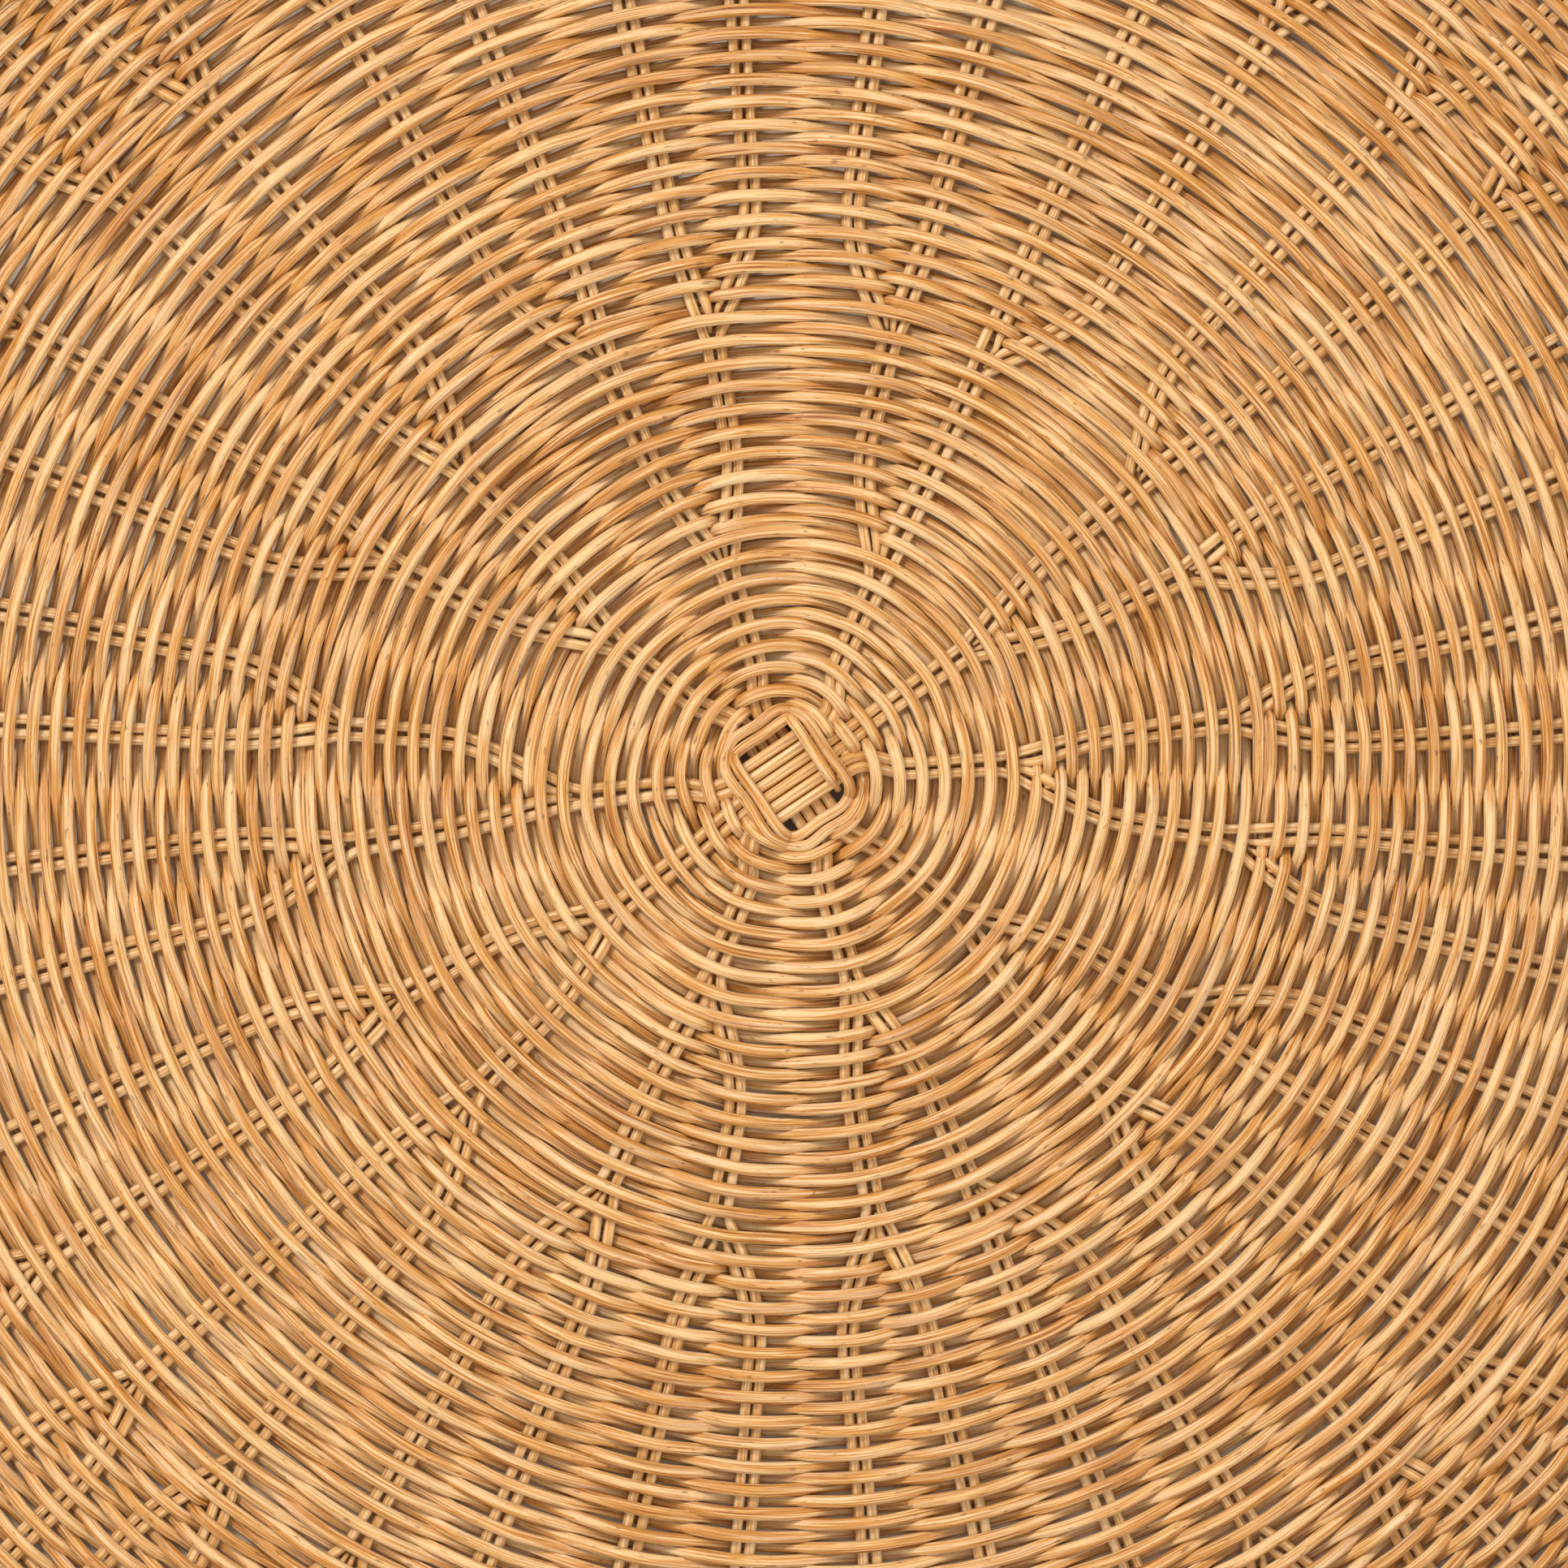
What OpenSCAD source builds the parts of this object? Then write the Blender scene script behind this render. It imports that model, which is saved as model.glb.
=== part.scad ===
// Round winnowing basket of rattan: a flat woven base, a short leaning wall and a lashed hoop rim.
// The base starts as two crossed groups of canes. They fan out as ten pairs, and new canes are pushed
// in between the two canes of each pair three times on the way out, so that ten pairs become eighty.
// Sizes are in millimetres. The origin is the middle of the underside, with +Z up.

/* [Canes] */
// Diameter of a base cane and of a pushed-in cane
cane_d = 2.8; // [2.4:0.1:3.4]
// Diameter of the weavers that pass over and under the pairs
weaver_d = 3; // [2.4:0.1:3.6]
// Gap between the two canes of a pair
pair_gap = 0.35; // [0.35:0.05:0.5]
// Room between a cane and the weave around it
channel_gap = 0.2; // [0.15:0.05:0.3]
// Length of a pushed-in cane's point
point_l = 6; // [3:0.5:10]

/* [Middle] */
// Direction in which the upper group of base canes runs, in degrees
cross_turn = 34; // [0:1:89]
// Room between the tie's first round and the canes that it passes
tie_room = 1; // [0.5:0.1:2]
// Radius at which the base canes reach the lines of their pairs
fan_r = 26; // [25:0.5:30]
// Radius at which the weave starts
weave_start_r = 21.5; // [21:0.5:24]

/* [Base] */
// Radius of the flat base, where the canes start to turn up
base_r = 290; // [262:1:350]
// Radius at which the first new canes go in
first_insert_r = 56; // [44:1:68]
// Radius at which the second new canes go in
second_insert_r = 116; // [96:1:140]
// Radius at which the third new canes go in
third_insert_r = 230; // [190:1:236]
// Distance over which the pairs draw apart after new canes go in
split_l = 22; // [18:0.5:27]

/* [Wall] */
// Radius of the turn from the base to the wall
turn_r = 30; // [20:1:45]
// Slope of the wall, in degrees up from the base
wall_slope = 60; // [40:1:75]
// Length of the wall along its slope, from the turn to the trimmed ends of the canes
wall_l = 58; // [44:1:90]

/* [Rim] */
// Width of the rim hoops along the slope
hoop_w = 24; // [16:0.5:32]
// Thickness of the rim hoops
hoop_t = 7; // [4:0.5:10]
// How far the hoops stand above the trimmed ends of the canes
hoop_rise = 4; // [2:0.5:6]
// Diameter of the cane that fills the groove between the hoops
filler_d = 8.4; // [7:0.1:9]
// Width of the lashing strip
lash_w = 5; // [3:0.5:7]
// Thickness of the lashing strip
lash_t = 1.2; // [0.8:0.1:1.8]
// Room between the rim's pieces
rim_gap = 0.15; // [0.1:0.05:0.3]

/* [Hidden] */
$fn = 16;
pitch = cane_d + pair_gap;                      // between the centre lines of a pair
weave_t = cane_d + 2 * (weaver_d + channel_gap);
mid_z = weave_t / 2;                            // the height of the canes in the base
cane_room = cane_d + 2 * channel_gap;           // the height of a pair's channel
tuck = 0.6;                                     // how far from a bend's middle a stretch stops
tip_d = cane_d / 2;                             // a cut to this at its point
knuckle_rise = 0.3;                             // how much thicker a cane is where it bends
band_gap = 0.2;                                 // between one stretch of weave and the next

// Angles of the pairs, laid out by hand and so a little uneven, in degrees
FIRST_PAIRS = [3, 35, 66, 107, 143, 186, 218, 249, 287, 321];
SECOND_PAIRS = [-8, 7, 27, 40, 65, 77, 100, 114, 137, 152,
                174, 189, 209.5, 225, 246, 261, 281, 294, 315, 329.5];
third_split = 4.1;
fourth_split = 2.1;
// From the third ring on the pairs are evened out, and drift a little to one side
THIRD_PAIRS = [for (i = [0:len(SECOND_PAIRS) - 1], side = [-1, 1])
    let (even = 18 * i - 9) even + 1.9 * sin(even - 130) + side * third_split];
FOURTH_PAIRS = [for (angle = THIRD_PAIRS, side = [-1, 1]) angle + side * fourth_split];
PAIRS = [FIRST_PAIRS, SECOND_PAIRS, THIRD_PAIRS, FOURTH_PAIRS];
families = len(FIRST_PAIRS);

// Where each ring's pairs leave the lines of the ring before, and where they reach their own
LEAVE_R = [weave_start_r, first_insert_r, second_insert_r, third_insert_r, base_r];
SETTLE_R = [fan_r, for (i = [1:3]) LEAVE_R[i] + split_l];

// The middle: heights of the crossed groups and of the tie above and below them
upper_n = 6;
lower_n = 4;
tie_step = cane_d / 2 + channel_gap + weaver_d / 2;
lower_z = channel_gap + weaver_d / 2 + tie_step;
upper_z = lower_z + pitch;
tie_x = lower_n / 2 * pitch + weaver_d / 2 + tie_room;
tie_y = upper_n / 2 * pitch + weaver_d / 2 + tie_room;
tie_pitch = weaver_d + channel_gap;
tie_end = cane_d / 2;                           // how far a stroke runs on past the last cane

// The wall: its foot is where the turn ends
foot_r = base_r + turn_r * sin(wall_slope);
foot_z = mid_z + turn_r * (1 - cos(wall_slope));
turn_bends = 2;                                 // a cane goes round the turn in this many bends

// The rim, as distances along the slope from the foot and across the wall from its middle
hoop_top = wall_l + hoop_rise;
hoop_foot = hoop_top - hoop_w;
lash_low = hoop_foot - rim_gap;                 // the inside of the lashing's lower run
wall_weave_top = lash_low - lash_t - rim_gap;
hoop_in = weave_t / 2 + rim_gap;
hoop_out = hoop_in + hoop_t;
filler_at = wall_l + rim_gap + filler_d / 2;
lash_n = len(FOURTH_PAIRS);

UPPER_CANES = [for (i = [1:upper_n]) str("upper_base_cane_", i)];
LOWER_CANES = [for (i = [1:lower_n]) str("lower_base_cane_", i)];
FIRST_NEW = [for (i = [1:families]) str("first_pushed_in_canes_", i)];
SECOND_NEW = [for (i = [1:families]) str("second_pushed_in_canes_", i)];
THIRD_NEW = [for (i = [1:families]) str("third_pushed_in_canes_", i)];
WEAVE_RINGS = ["weave_ring_first", "weave_ring_second", "weave_ring_third", "weave_ring_fourth"];

// Plane geometry
function unit(v) = v / norm(v);
function left_of(v) = [-v[1], v[0]];
function polar(r, angle) = [r * cos(angle), r * sin(angle)];
function turned(p, angle) = [p[0] * cos(angle) - p[1] * sin(angle), p[0] * sin(angle) + p[1] * cos(angle)];
function with_z(p, z) = [p[0], p[1], z];

// The mitre at a path's point i: a step along it moves the path one unit to its left
function mitre(path, i) =
    let (last = len(path) - 1,
         before = left_of(unit(path[max(i, 1)] - path[max(i, 1) - 1])),
         after = left_of(unit(path[min(i, last - 1) + 1] - path[min(i, last - 1)])),
         middle = unit(before + after))
    middle / (middle * before);
function beside(path, distance) = [for (i = [0:len(path) - 1]) path[i] + distance * mitre(path, i)];

// A pair's way round the turn and up the wall, as points this far to the left of its line
function upturned(angle, beside) = [
    for (k = [1:turn_bends]) let (rise = wall_slope * k / turn_bends)
        with_z(turned([base_r + turn_r * sin(rise), beside], angle), mid_z + turn_r * (1 - cos(rise))),
    with_z(turned([foot_r + wall_l * cos(wall_slope), beside], angle), foot_z + wall_l * sin(wall_slope))];

// The centre line of a pair from ring `level` outwards, always taking the branch on `side`
function outwards(level, pair, side) = level > 3 ? [] : concat(
    [polar(SETTLE_R[level], PAIRS[level][pair]), polar(LEAVE_R[level + 1], PAIRS[level][pair])],
    outwards(level + 1, 2 * pair + (side > 0 ? 1 : 0), side));
function last_pair(level, pair, side) =
    level == 3 ? pair : last_pair(level + 1, 2 * pair + (side > 0 ? 1 : 0), side);

// The first pair that a base cane's end joins: end is 1 for one end and -1 for the other
function joins(first, count, i, end) =
    first + (end > 0 ? floor(i / 2) : families / 2 + count / 2 - 1 - floor(i / 2));
function base_side(i, end) = (i % 2 == 1 ? 1 : -1) * end;
// The centre line of the two canes that base cane i pairs with, from the middle to the base's edge
function base_line(first, count, turn, tie, i, end) =
    let (across = end * (2 * floor(i / 2) + 1 - count / 2) * pitch,
         out = end > 0 ? turn : turn + 180,
         straight = tie + 1.5 * tie_pitch)
    concat([turned([0, across], out), turned([straight, across], out)],
        outwards(0, joins(first, count, i, end), base_side(i, end)));

// Solids
// The way from a to b, as degrees round Z and degrees up
function heading(a, b) = let (v = b - a) [atan2(v[1], v[0]), asin(v[2] / norm(v))];

// The rest of a cane from point i, drawn from there with X along its next stretch. Each bend has a
// slight swelling, and the stretches stop inside it a little short of one another.
module stretches(points, i, d, point) {
    length = norm(points[i + 1] - points[i]);
    last = i == len(points) - 2;
    from = i == 0 ? 0 : tuck;
    to = last ? length : length - tuck;
    rotate([0, 90, 0])
        if (i == 0 && point) rotate_extrude() polygon([[0, 0], [tip_d / 2, 0], [d / 2, point_l], [d / 2, to], [0, to]]);
        else translate([0, 0, from]) cylinder(h = to - from, d = d);
    if (!last) translate([length, 0, 0]) {
        now = heading(points[i], points[i + 1]);
        next = heading(points[i + 1], points[i + 2]);
        rotate([0, 90, 0]) sphere(d = d + knuckle_rise);
        rotate([0, now[1], 0]) rotate([0, 0, next[0] - now[0]]) rotate([0, -next[1], 0])
            stretches(points, i + 1, d, false);
    }
}

module bent_rod(points, d, point = false) {
    first = heading(points[0], points[1]);
    translate(points[0]) rotate([0, -first[1], first[0]]) stretches(points, 0, d, point);
}

// Puts its children's XY plane on the wall: X across it outwards from its middle, Y up its slope
module on_wall(angle) {
    rotate([0, 0, angle]) translate([foot_r, 0, foot_z]) rotate([90, 0, 0])
        rotate([0, 0, wall_slope - 90]) children();
}

// One end of a base cane, from its first bend to its trimmed end
function base_end(first, count, turn, tie, i, end, z) =
    let (side = base_side(i, end),
         line = beside(base_line(first, count, turn, tie, i, end), side * pitch / 2),
         last = FOURTH_PAIRS[last_pair(0, joins(first, count, i, end), side)])
    concat([for (k = [1:len(line) - 1]) with_z(line[k], k < 2 ? z : mid_z)], upturned(last, side * pitch / 2));

module base_cane(first, count, turn, tie, i, z) {
    here = base_end(first, count, turn, tie, i, 1, z);
    there = base_end(first, count, turn, tie, i, -1, z);
    bent_rod(concat([for (k = [len(there) - 1:-1:0]) there[k]], here), cane_d);
}

module upper_base_cane(i) {
    color("#d9a56c") base_cane(0, upper_n, cross_turn, tie_x, i, upper_z);
}

module lower_base_cane(i) {
    color("#cf9a60") base_cane(upper_n / 2, lower_n, cross_turn + 90, tie_y, i, lower_z);
}

// A cane pushed in where ring `level` starts. It lies on the inner side of its pair.
module pushed_in_cane(level, pair) {
    side = pair % 2 == 0 ? 1 : -1;
    parent = PAIRS[level - 1][floor(pair / 2)];
    line = beside(concat([polar(LEAVE_R[level], parent)], outwards(level, pair, side)), side * pitch / 2);
    last = FOURTH_PAIRS[last_pair(level, pair, side)];
    // Its point starts where this pair and the next have drawn apart by a pair's width
    apart = norm(polar(SETTLE_R[level], PAIRS[level][pair]) - polar(SETTLE_R[level], PAIRS[level][pair + side]));
    start = line[0] + (line[1] - line[0]) * (pitch + tip_d + channel_gap) / apart;
    points = concat([with_z(start, mid_z)], [for (k = [1:len(line) - 1]) with_z(line[k], mid_z)],
        upturned(last, side * pitch / 2));
    bent_rod(points, cane_d, true);
}

// One family's share of the canes pushed in at the start of a ring
module pushed_in_canes(level, family) {
    count = len(PAIRS[level]) / families;
    for (pair = [family * count:(family + 1) * count - 1]) pushed_in_cane(level, pair);
}

// The tie's two rounds on one face of the crossed groups, as closed loops
module slath_tie(step) {
    for (round = [0, 1]) rotate([0, 0, cross_turn]) {
        x = tie_x + round * tie_pitch;
        y = tie_y + round * tie_pitch;
        half_y = (upper_n - 1) / 2 * pitch + tie_end;
        half_x = (lower_n - 1) / 2 * pitch + tie_end;
        high = upper_z + step;
        low = lower_z + step;
        loop = [[x, -half_y, high], [x, half_y, high], [half_x, y, low], [-half_x, y, low],
                [-x, half_y, high], [-x, -half_y, high], [-half_x, -y, low], [half_x, -y, low]];
        for (i = [0:7]) {
            v = loop[(i + 1) % 8] - loop[i];
            translate(loop[i]) {
                rotate([0, acos(v[2] / norm(v)), atan2(v[1], v[0])]) cylinder(h = norm(v), d = weaver_d);
                sphere(d = weaver_d + knuckle_rise);
            }
        }
    }
}

module slath_tie_top() {
    color("#e0b079") slath_tie(tie_step);
}

module slath_tie_bottom() {
    color("#e0b079") slath_tie(-tie_step);
}

// The room that a pair needs in the weave, from one point to another
module channel(a, b, room) {
    v = b - a;
    translate(a) rotate([0, -asin(v[2] / norm(v)), atan2(v[1], v[0])])
        translate([-1, -(pitch + room) / 2, -room / 2]) cube([norm(v) + 2, pitch + room, room]);
}

// Channels of ring `level` for one pair, from the ring before to the next
module ring_channels(level, pair) {
    settled = polar(SETTLE_R[level], PAIRS[level][pair]);
    next = polar(LEAVE_R[level + 1] + 1, PAIRS[level][pair]);
    if (level == 0) {
        channel(base_entry(pair), with_z(settled, mid_z), cane_room + 0.1);
        channel(with_z(settled, mid_z), with_z(next, mid_z), cane_room);
    } else {
        parted = polar(LEAVE_R[level], PAIRS[level - 1][floor(pair / 2)]);
        way = [parted - unit(settled - parted), settled, next];
        right = beside(way, -(pitch + cane_room) / 2);
        left = beside(way, (pitch + cane_room) / 2);
        translate([0, 0, mid_z - cane_room / 2]) linear_extrude(cane_room)
            polygon([right[0], right[1], right[2], left[2], left[1], left[0]]);
    }
}

// Where the base canes of a first pair leave the crossed groups
function base_entry(pair) =
    let (end = pair < families / 2 ? 1 : -1,
         n = pair % (families / 2),
         upper = n < upper_n / 2,
         count = upper ? upper_n : lower_n,
         first = upper ? 0 : upper_n / 2,
         slot = end > 0 ? n - first : count / 2 - 1 - (n - first),
         line = base_line(first, count, upper ? cross_turn : cross_turn + 90, upper ? tie_x : tie_y,
             2 * slot, end))
    with_z(line[1], upper ? upper_z : lower_z);

module weave_ring(level) {
    color("#dba86e") difference() {
        rotate_extrude($fn = 160) translate([LEAVE_R[level] + band_gap / 2, 0])
            square([LEAVE_R[level + 1] - LEAVE_R[level] - band_gap, weave_t]);
        for (pair = [0:len(PAIRS[level]) - 1]) ring_channels(level, pair);
    }
}

module turn_weave() {
    color("#dba86e") difference() {
        rotate_extrude($fn = 160) translate([base_r, mid_z + turn_r]) intersection() {
            difference() {
                circle(r = turn_r + weave_t / 2, $fn = 96);
                circle(r = turn_r - weave_t / 2, $fn = 96);
            }
            polygon([[0, 0], [0, -2 * turn_r], [2 * turn_r * tan(wall_slope / 2), -2 * turn_r],
                2 * turn_r * [sin(wall_slope), -cos(wall_slope)]]);
        }
        for (angle = FOURTH_PAIRS) {
            way = concat([[base_r, 0, mid_z]], upturned(0, 0));
            rotate([0, 0, angle]) for (k = [1:turn_bends]) channel(way[k - 1], way[k], cane_room);
        }
    }
}

// A stretch of weave on the wall, from one distance up the slope to another
module wall_stretch(low, high) {
    difference() {
        rotate_extrude($fn = 160) translate([foot_r, foot_z]) rotate(wall_slope - 90)
            translate([-weave_t / 2, low]) square([weave_t, high - low]);
        for (angle = FOURTH_PAIRS) on_wall(angle) translate([-cane_room / 2, low - 1, -(pitch + cane_room) / 2])
            cube([cane_room, high - low + 2, pitch + cane_room]);
    }
}

module wall_weave() {
    color("#dba86e") wall_stretch(band_gap, wall_weave_top);
}

module rim_weave() {
    color("#cf9a60") wall_stretch(lash_low + rim_gap, wall_l);
}

// A bent wooden hoop, with rounded edges, whose inner face is this far across the wall
module rim_hoop(across) {
    edge = hoop_t / 4;
    rotate_extrude($fn = 160) translate([foot_r, foot_z]) rotate(wall_slope - 90)
        translate([across, hoop_foot]) union() {
            translate([edge, 0]) square([hoop_t - 2 * edge, hoop_w]);
            translate([0, edge]) square([hoop_t, hoop_w - 2 * edge]);
            for (x = [edge, hoop_t - edge], y = [edge, hoop_w - edge]) translate([x, y]) circle(r = edge);
        }
}

module inner_rim_hoop() {
    color("#a9713d") rim_hoop(-hoop_out);
}

module outer_rim_hoop() {
    color("#a9713d") rim_hoop(hoop_in);
}

module rim_filler_cane() {
    color("#c58f56") rotate_extrude($fn = 160) translate([foot_r, foot_z]) rotate(wall_slope - 90)
        translate([0, filler_at]) circle(d = filler_d);
}

// The lashing's outline round the rim, this far outside its inner face
function lash_outline(out) =
    let (side = hoop_out + rim_gap + out, crown = filler_d / 3 + out / 2,
         top = filler_at + filler_d / 2 + rim_gap + out, shoulder = hoop_top + rim_gap + out)
    [[-side, lash_low - out], [side, lash_low - out], [side, shoulder], [crown, top],
     [-crown, top], [-side, shoulder]];

module rim_lashing() {
    color("#e6bb86") for (i = [0:lash_n - 1]) {
        angle = (FOURTH_PAIRS[i] + FOURTH_PAIRS[(i + 1) % lash_n] + (i == lash_n - 1 ? 360 : 0)) / 2;
        on_wall(angle) linear_extrude(lash_w, center = true) difference() {
            polygon(lash_outline(lash_t));
            polygon(lash_outline(0));
        }
    }
}

for (i = [0:upper_n - 1]) upper_base_cane(i);
for (i = [0:lower_n - 1]) lower_base_cane(i);
for (i = [0:families - 1]) {
    color("#d39d63") pushed_in_canes(1, i);
    color("#dca970") pushed_in_canes(2, i);
    color("#cd975c") pushed_in_canes(3, i);
}
slath_tie_top();
slath_tie_bottom();
for (i = [0:3]) weave_ring(i);
turn_weave();
wall_weave();
rim_weave();
inner_rim_hoop();
outer_rim_hoop();
rim_filler_cane();
rim_lashing();
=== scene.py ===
"""A round winnowing basket of peeled rattan core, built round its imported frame.

All lengths are worked out in millimetres and turned to metres when a mesh is made. A place on the
basket is given by s, the distance from the middle along the basket's mid surface, by an angle, and by
a lift off that surface. The surface is flat, then turns up round an arc, then leans outwards.
"""

import math

import bpy
import numpy as np
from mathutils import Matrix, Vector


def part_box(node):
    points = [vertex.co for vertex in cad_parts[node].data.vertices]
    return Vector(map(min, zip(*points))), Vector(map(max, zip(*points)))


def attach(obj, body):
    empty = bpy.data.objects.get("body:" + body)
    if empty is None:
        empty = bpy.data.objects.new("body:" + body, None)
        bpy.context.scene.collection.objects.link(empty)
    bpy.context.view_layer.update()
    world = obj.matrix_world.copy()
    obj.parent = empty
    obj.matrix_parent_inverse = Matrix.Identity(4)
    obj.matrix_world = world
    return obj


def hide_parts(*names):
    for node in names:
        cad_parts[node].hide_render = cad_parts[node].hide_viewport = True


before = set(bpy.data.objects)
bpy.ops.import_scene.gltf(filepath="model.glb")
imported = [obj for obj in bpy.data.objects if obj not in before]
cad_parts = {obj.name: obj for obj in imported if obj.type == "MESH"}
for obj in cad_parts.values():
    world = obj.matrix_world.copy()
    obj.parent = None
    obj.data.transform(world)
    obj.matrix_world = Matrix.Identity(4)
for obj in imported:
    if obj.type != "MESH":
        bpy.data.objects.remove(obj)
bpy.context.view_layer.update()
MM = 0.001
TAU = 2 * math.pi
rng = np.random.default_rng(41)


def top_corner(node):
    """The highest corner of a CAD node, in millimetres."""
    return np.array(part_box(node)[1]) / MM


# ---------------------------------------------------------------- sizes shared with the frame
WEAVE_T = top_corner("weave_ring_third")[2]
MID_Z = WEAVE_T / 2
BAND_GAP = 0.2
INSERT_R = [round(top_corner(n)[0] + BAND_GAP / 2) for n in
            ("weave_ring_first", "weave_ring_second", "weave_ring_third", "weave_ring_fourth")]
BASE_R = INSERT_R[3]
TURN_R = 30.0
SLOPE = math.radians(60)
WALL_L = 58.0
CANE_D, WEAVER_D, PITCH = 2.8, 3.0, 3.15
WEAVER_W = 3.4                 # a weaver is pressed a little wider than it is thick
CANE_W = 1.07                  # a cane's width for its thickness
SPLIT_L = 22.0
FAN_R = 26.0
CROSS_TURN = 34.0
HOOP_W, HOOP_T, HOOP_RISE = 24.0, 7.0, 4.0
FILLER_D, LASH_W, LASH_T, RIM_GAP = 8.4, 5.0, 1.2, 0.15
ROW = 3.0                      # from one row of weave to the next
START_S = 16.6                 # where the weave starts
MIDDLE_R = 12.0                # nearer the middle than this, a sideways shift isn't taken as an angle
CUT_L = 2300.0                 # the length of one weaver before the next joins on
CANE_STEP = 2.6                # from one point of a cane's path to the next
RIM_STEPS = 360                # points round a hoop
GAP_SHADE_REACH = 1.9              # a surface this far off the mid surface gets no painted shade
CLEAR = 6.0                    # the lift given to a piece that has no gaps to lie in, so that it gets no painted shade

FOOT_S = BASE_R + TURN_R * SLOPE
END_S = FOOT_S + WALL_L
HOOP_IN = WEAVE_T / 2 + RIM_GAP
HOOP_FOOT = WALL_L + HOOP_RISE - HOOP_W
LASH_LOW = HOOP_FOOT - RIM_GAP

FIRST = np.array([3, 35, 66, 107, 143, 186, 218, 249, 287, 321], float)
SECOND = np.array([-8, 7, 27, 40, 65, 77, 100, 114, 137, 152,
                   174, 189, 209.5, 225, 246, 261, 281, 294, 315, 329.5])
EVEN = 18.0 * np.arange(20) - 9
THIRD = ((EVEN + 1.9 * np.sin(np.radians(EVEN - 130)))[:, None] + [-4.1, 4.1]).ravel()
FOURTH = (THIRD[:, None] + [-2.1, 2.1]).ravel()
PAIRS = [FIRST, SECOND, THIRD, FOURTH]
LEAVE = [START_S, *INSERT_R]
SETTLE = [FAN_R] + [r + SPLIT_L for r in INSERT_R[:3]]
UPPER_PAIRS = (0, 1, 2, 5, 6, 7)
# How each first pair leaves the crossed canes: the way its arm runs, and how far across it lies
ARM_OUT = CROSS_TURN + np.repeat([0.0, 90.0, 180.0, 270.0], [3, 2, 3, 2])
ARM_ACROSS = np.array([-2, 0, 2, -1, 1, -2, 0, 2, -1, 1]) * PITCH
LOWER_Z, UPPER_Z = 4.8, 4.8 + PITCH


def smooth(x, low=0.0, high=1.0):
    """0 below low, 1 above high, and an S curve between them."""
    t = np.clip((x - low) / (high - low), 0, 1)
    return t * t * (3 - 2 * t)


def drift(x, step, size):
    """Random values every step along x, joined by smooth curves, of about this size."""
    x = np.asarray(x, float)
    at = (x - x.min()) / step
    knots = rng.normal(0, size, int(at.max()) + 3)
    i = np.floor(at).astype(int)
    t = at - i
    return knots[i] + (knots[i + 1] - knots[i]) * t * t * (3 - 2 * t)


def parting(s, level):
    """How far a split has gone at s: 0 at LEAVE, quickest there, and 1 once the pairs run straight."""
    t = np.clip((s - LEAVE[level]) / (1.6 * SPLIT_L), 0, 1)
    return t * (2 - t)


def surface(s, angle, lift):
    """The point at s and angle (degrees), lifted inwards off the mid surface, and the normal there.
    Flat to BASE_R, an arc of TURN_R through SLOPE, then a straight wall."""
    turn = np.clip((s - BASE_R) / TURN_R, 0, SLOPE)
    up_wall = np.maximum(s - FOOT_S, 0)
    radius = np.minimum(s, BASE_R) + TURN_R * np.sin(turn) + up_wall * np.cos(turn) - lift * np.sin(turn)
    height = MID_Z + TURN_R * (1 - np.cos(turn)) + up_wall * np.sin(turn) + lift * np.cos(turn)
    a = np.radians(angle)
    point = np.stack([radius * np.cos(a), radius * np.sin(a), height + 0 * a], -1)
    normal = np.stack([-np.sin(turn) * np.cos(a), -np.sin(turn) * np.sin(a), np.cos(turn) + 0 * a], -1)
    return point, normal


def radius_at(s):
    """The plan radius of the mid surface at s."""
    turn = np.clip((s - BASE_R) / TURN_R, 0, SLOPE)
    return np.minimum(s, BASE_R) + TURN_R * np.sin(turn) + np.maximum(s - FOOT_S, 0) * np.cos(turn)


def pair_angle(level, pair, s):
    """The angle of a pair at s: its own, or on the way to it from its parent's."""
    own = PAIRS[level][pair]
    if level == 0:
        straight = ARM_OUT[pair] + np.degrees(np.arcsin(ARM_ACROSS[pair] / np.maximum(s, MIDDLE_R)))
        straight = own + (straight - own + 180) % 360 - 180
        return straight + (own - straight) * smooth(s, 11, 31)
    parent = PAIRS[level - 1][pair // 2]
    return parent + (own - parent) * parting(s, level)


# ---------------------------------------------------------------- meshes
def along(path):
    """The distance along each path, starting at 0."""
    step = np.linalg.norm(np.diff(path, axis=1), axis=2)
    return np.concatenate([np.zeros((len(path), 1)), np.cumsum(step, axis=1)], axis=1)


def unit(v):
    """Each vector at length 1."""
    return v / np.maximum(np.linalg.norm(v, axis=-1, keepdims=True), 1e-9)


def make_mesh(name, verts, faces, uv, shade, painted_gap_shade):
    """One object from vertices (mm), equal-sided faces, a UV per face corner and two values a vertex: a
    random tone and a painted shade between pieces.
    """
    mesh = bpy.data.meshes.new(name)
    mesh.vertices.add(len(verts))
    mesh.vertices.foreach_set("co", (verts * MM).astype(np.float32).ravel())
    loops = np.concatenate([f.ravel() for f in faces])
    sizes = np.concatenate([np.full(len(f), f.shape[1]) for f in faces])
    mesh.loops.add(len(loops))
    mesh.loops.foreach_set("vertex_index", loops.astype(np.int32))
    mesh.polygons.add(len(sizes))
    mesh.polygons.foreach_set("loop_start", (np.cumsum(sizes) - sizes).astype(np.int32))
    mesh.polygons.foreach_set("use_smooth", np.ones(len(sizes), bool))
    layer = mesh.uv_layers.new(name="along_round")
    layer.data.foreach_set("uv", (uv * MM).astype(np.float32).ravel())
    for key, value in (("shade", shade), ("painted_gap_shade", painted_gap_shade)):
        mesh.attributes.new(key, "FLOAT", "POINT").data.foreach_set("value", value.astype(np.float32))
    mesh.update(calc_edges=True)
    piece = bpy.data.objects.new(name, mesh)
    bpy.context.scene.collection.objects.link(piece)
    return piece


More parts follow.
